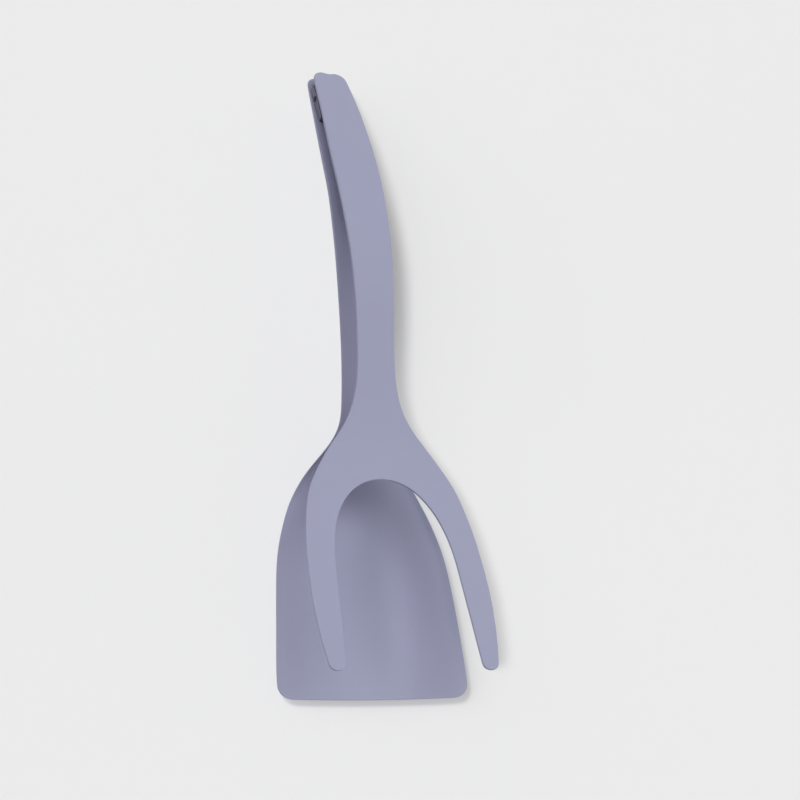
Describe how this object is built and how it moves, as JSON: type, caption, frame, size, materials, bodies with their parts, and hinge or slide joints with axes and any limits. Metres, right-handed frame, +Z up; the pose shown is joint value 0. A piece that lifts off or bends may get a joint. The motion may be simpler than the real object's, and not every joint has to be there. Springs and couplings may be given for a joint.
{
  "type": "spatula tongs",
  "caption": "Kitchen spatula tongs: a broad turner blade and a two-tined fork arm, hinged at the tail and sprung open, with soft matte covers over stiff cores.",
  "frame": {"origin": "the middle of the bounding box along X and Y, at the height of the blade's flat underside (z = 0)", "axes": "+X to the left of someone holding the tail, +Y along the tongs from the hinged tail to the tips, +Z up from the blade towards the fork; the long middle plane is x = 0"},
  "size_m": [0.087, 0.2858, 0.046],
  "materials": {
    "cover": "soft matte silicone",
    "core": "moulded nylon",
    "steel": "turned stainless",
    "spring_steel": "drawn stainless wire",
    "washer": "natural nylon"
  },
  "bodies": {
    "spatula_arm": {"spatula_cover": "cover", "spatula_core": "core", "hinge_pin": "steel", "pin_push_nut": "steel", "return_spring": "spring_steel", "hinge_washer_left": "washer", "hinge_washer_right": "washer"},
    "fork_arm": {"fork_cover": "cover", "fork_core": "core"}
  },
  "joints": [
    {"name": "squeeze_hinge", "type": "hinge", "parent": "spatula_arm", "child": "fork_arm", "pos_m": [0, -0.12746, 0.02256], "axis": [-1, 0, 0], "range_deg": [0, 6.5], "stiffness_Nm_per_rad": 1.5, "springref_deg": -8.59, "deforming": ["return_spring"]}
  ]
}
